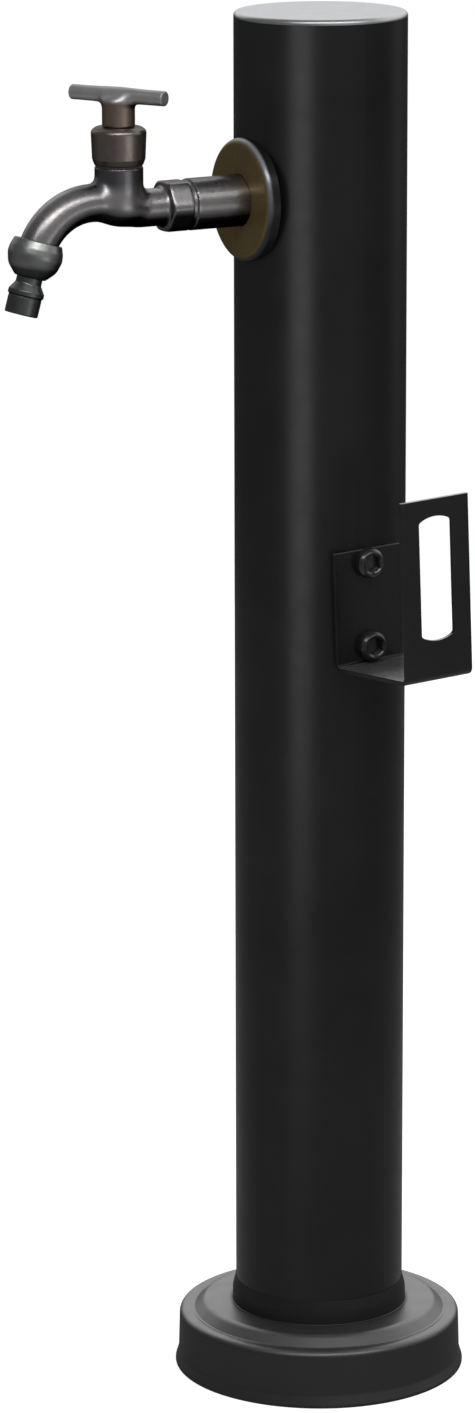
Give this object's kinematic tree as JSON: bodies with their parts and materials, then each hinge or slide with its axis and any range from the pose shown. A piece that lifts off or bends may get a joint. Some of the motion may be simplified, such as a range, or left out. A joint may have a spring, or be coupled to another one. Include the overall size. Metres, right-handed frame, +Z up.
{
  "type": "garden standpipe",
  "caption": "Floor-mounted round garden standpipe: black column with a T-handle screw-down tap, slotted hose bracket, loose spun base cover, inner riser pipe and threaded inlet.",
  "frame": {"origin": "on the column axis at ground level, the centre of the anchor hole circle on the base plate's underside", "axes": "+Z up along the column, -Y towards the tap, +X towards the hose bracket"},
  "size_m": [0.1617, 0.2202, 0.62],
  "materials": {
    "black_coat": "satin black powder coat",
    "cover_coat": "glossier black coat on spun sheet",
    "light_metal": "light satin metal",
    "plate_steel": "zinc-plated plate",
    "bronze": "polished dark bronze",
    "rosette_bronze": "polished dark bronze, browner",
    "dark_bronze": "dark bronze, duller",
    "brass": "machined brass",
    "steel": "stainless steel",
    "black_steel": "blackened steel",
    "rubber": "black rubber",
    "plastic": "moulded nylon",
    "fibre": "vulcanised fibre"
  },
  "bodies": {
    "column": {"column_tube": "black_coat", "top_cap": "light_metal", "base_plate": "plate_steel", "inlet_socket": "brass", "lower_olive": "brass", "lower_nut": "brass", "riser_pipe": "steel", "upper_olive": "brass", "upper_nut": "brass", "tap_elbow": "brass", "inner_saddle_ring": "plastic", "outer_saddle_ring": "plastic", "rosette": "rosette_bronze", "tap_body": "bronze", "bonnet_washer_ring": "fibre", "bonnet": "bronze", "union_nut": "dark_bronze", "outlet_seal_ring": "rubber", "hose_nozzle": "dark_bronze", "hose_bracket": "black_coat", "bracket_screws": "black_steel", "rivet_nuts": "steel"},
    "cover": {"base_cover": "cover_coat"},
    "valve": {"jumper": "brass", "valve_washer_disc": "rubber", "washer_screw": "brass"},
    "handle": {"spindle": "brass", "spindle_seals": "rubber", "tee_handle": "bronze", "handle_set_screw": "steel"}
  },
  "joints": [
    {"name": "cover_slide", "type": "slide", "parent": "column", "child": "cover", "axis": [0, 0, 1], "range_m": [0, 0.29]},
    {"name": "valve_lift", "type": "slide", "parent": "column", "child": "valve", "axis": [0, 0, 1], "range_m": [0, 0.004]},
    {"name": "handle_turn", "type": "hinge", "parent": "valve", "child": "handle", "pos_m": [0, -0.0997, 0.54], "axis": [0, 0, 1], "range_deg": [0, 720]}
  ],
  "couplings": [
    {"joint": "handle_turn", "follows": "valve_lift", "rad_per_m": 3141.6}
  ]
}
